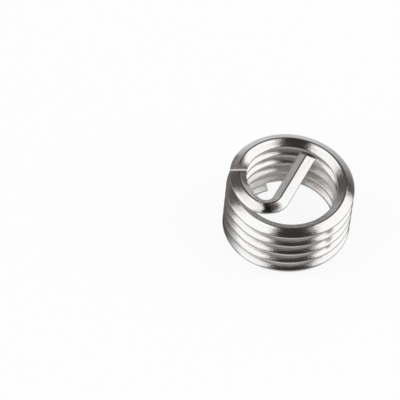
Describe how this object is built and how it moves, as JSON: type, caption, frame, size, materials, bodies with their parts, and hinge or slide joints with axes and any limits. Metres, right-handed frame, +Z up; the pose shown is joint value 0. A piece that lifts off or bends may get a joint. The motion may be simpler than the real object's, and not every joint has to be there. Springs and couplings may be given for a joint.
{
  "type": "helical thread insert",
  "caption": "Coil of diamond-section stainless wire that lines a tapped hole with a new metric thread, with a break-off driving tang across one end.",
  "frame": {"origin": "on the coil's axis, level with its lowest point", "axes": "+Z up the coil's axis to the end with the tang, +Y along the tang to its free end"},
  "size_m": [0.0124, 0.0124, 0.0077],
  "materials": {
    "stainless_wire": "bright drawn austenitic stainless steel wire"
  },
  "bodies": {
    "root": {"thread_insert": "stainless_wire"}
  },
  "joints": []
}
